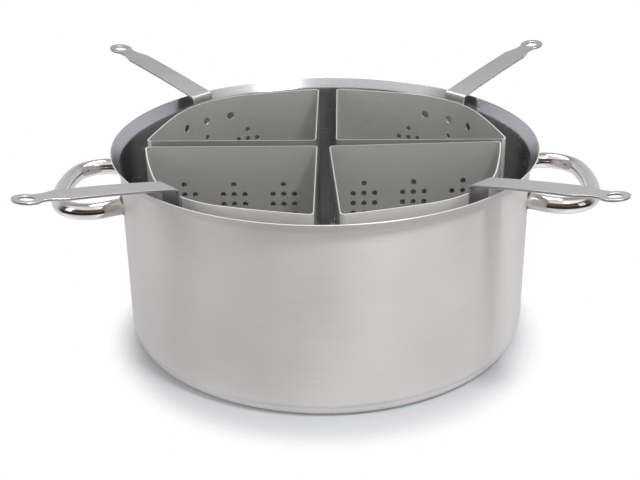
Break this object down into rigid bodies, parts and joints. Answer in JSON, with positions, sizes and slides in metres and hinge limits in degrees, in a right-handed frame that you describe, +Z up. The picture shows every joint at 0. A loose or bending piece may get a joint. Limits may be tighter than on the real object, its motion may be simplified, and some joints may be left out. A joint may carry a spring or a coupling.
{
  "type": "pasta pot with strainer inserts",
  "caption": "Wide steel cooking pot with loop side handles and perforated quarter inserts, each lifted out by a long strap handle with a hanging eye.",
  "frame": {"origin": "centre of the base's underside, on the pot's axis", "axes": "+Z up along the pot's axis, X through both side handles, -Y towards the side pictured"},
  "size_m": [0.489, 0.4319, 0.205],
  "materials": {
    "body_steel": "satin",
    "aluminium_core": "matte",
    "base_steel": "satin",
    "handle_steel": "polished",
    "insert_steel": "satin",
    "strap_steel": "satin"
  },
  "bodies": {
    "pot": {"pot_floor": "body_steel", "pot_wall": "body_steel", "pot_lip": "body_steel", "base_core": "aluminium_core", "base_cap": "base_steel", "left_handle_tube": "handle_steel", "left_front_weld_bead": "handle_steel", "left_rear_weld_bead": "handle_steel", "right_handle_tube": "handle_steel", "right_front_weld_bead": "handle_steel", "right_rear_weld_bead": "handle_steel"},
    "rear_left_insert": {"rear_left_straight_walls": "insert_steel", "rear_left_curved_wall": "insert_steel", "rear_left_floor_plate": "insert_steel", "rear_left_strap_handle": "strap_steel"},
    "rear_right_insert": {"rear_right_straight_walls": "insert_steel", "rear_right_curved_wall": "insert_steel", "rear_right_floor_plate": "insert_steel", "rear_right_strap_handle": "strap_steel"},
    "front_left_insert": {"front_left_straight_walls": "insert_steel", "front_left_curved_wall": "insert_steel", "front_left_floor_plate": "insert_steel", "front_left_strap_handle": "strap_steel"},
    "front_right_insert": {"front_right_straight_walls": "insert_steel", "front_right_curved_wall": "insert_steel", "front_right_floor_plate": "insert_steel", "front_right_strap_handle": "strap_steel"}
  },
  "joints": [
    {"name": "rear_left_lift", "type": "slide", "parent": "pot", "child": "rear_left_insert", "axis": [0, 0, 1], "range_m": [0, 0.22]},
    {"name": "rear_right_lift", "type": "slide", "parent": "pot", "child": "rear_right_insert", "axis": [0, 0, 1], "range_m": [0, 0.22]},
    {"name": "front_left_lift", "type": "slide", "parent": "pot", "child": "front_left_insert", "axis": [0, 0, 1], "range_m": [0, 0.22]},
    {"name": "front_right_lift", "type": "slide", "parent": "pot", "child": "front_right_insert", "axis": [0, 0, 1], "range_m": [0, 0.22]}
  ]
}
